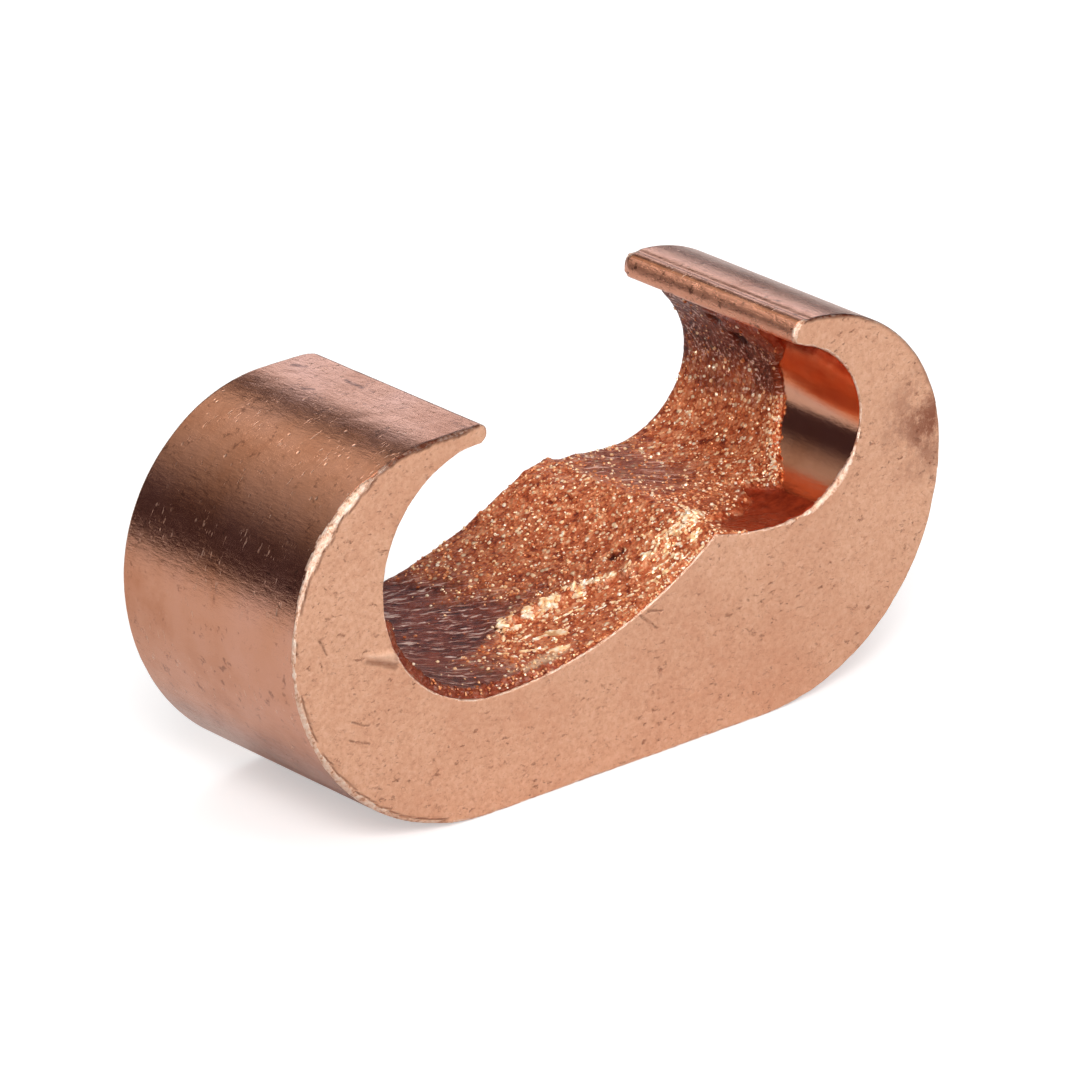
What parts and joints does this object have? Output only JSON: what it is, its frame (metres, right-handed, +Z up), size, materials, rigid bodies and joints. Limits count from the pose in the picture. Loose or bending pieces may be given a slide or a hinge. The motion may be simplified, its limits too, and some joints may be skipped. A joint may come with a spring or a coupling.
{
  "type": "compression c-tap connector",
  "caption": "Copper compression C-tap with a large run groove and a smaller tap groove, its inside smeared with copper-grit joint compound.",
  "frame": {"origin": "on the flat underside, at the middle of the overall width and of the cut length", "axes": "+X across the C from the run groove to the tap groove, Y along the conductors with the pictured end at -Y, +Z up out of the mouth"},
  "size_m": [0.05, 0.0176, 0.0251],
  "materials": {
    "drawn_copper": null,
    "copper_grit_paste": "grease loaded with copper grit, wet and glittering, smeared smooth in places"
  },
  "bodies": {
    "root": {"c_body": "drawn_copper", "joint_compound": "copper_grit_paste"}
  },
  "joints": []
}
